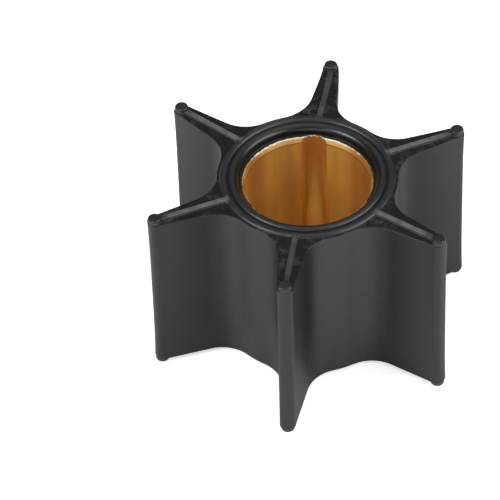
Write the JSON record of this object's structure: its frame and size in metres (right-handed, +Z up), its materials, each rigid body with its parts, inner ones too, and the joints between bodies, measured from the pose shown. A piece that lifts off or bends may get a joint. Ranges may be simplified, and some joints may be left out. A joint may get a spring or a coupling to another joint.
{
  "type": "pump impeller",
  "caption": "Flexible pump impeller with straight radial vanes moulded in black rubber around a keyed brass bush.",
  "frame": {"origin": "on the bore's axis, in the plane of the lower tip beads that the part stands on", "axes": "+Z up along the bore's axis, +Y from the axis towards the keyway and the vane in line with it, +X completes the right-handed frame"},
  "size_m": [0.0584, 0.0668, 0.039],
  "materials": {
    "rubber": "moulded black rubber with a soft sheen",
    "brass": "machined, slightly tarnished"
  },
  "bodies": {
    "root": {"vaned_body": "rubber", "hub_bush": "brass"}
  },
  "joints": []
}
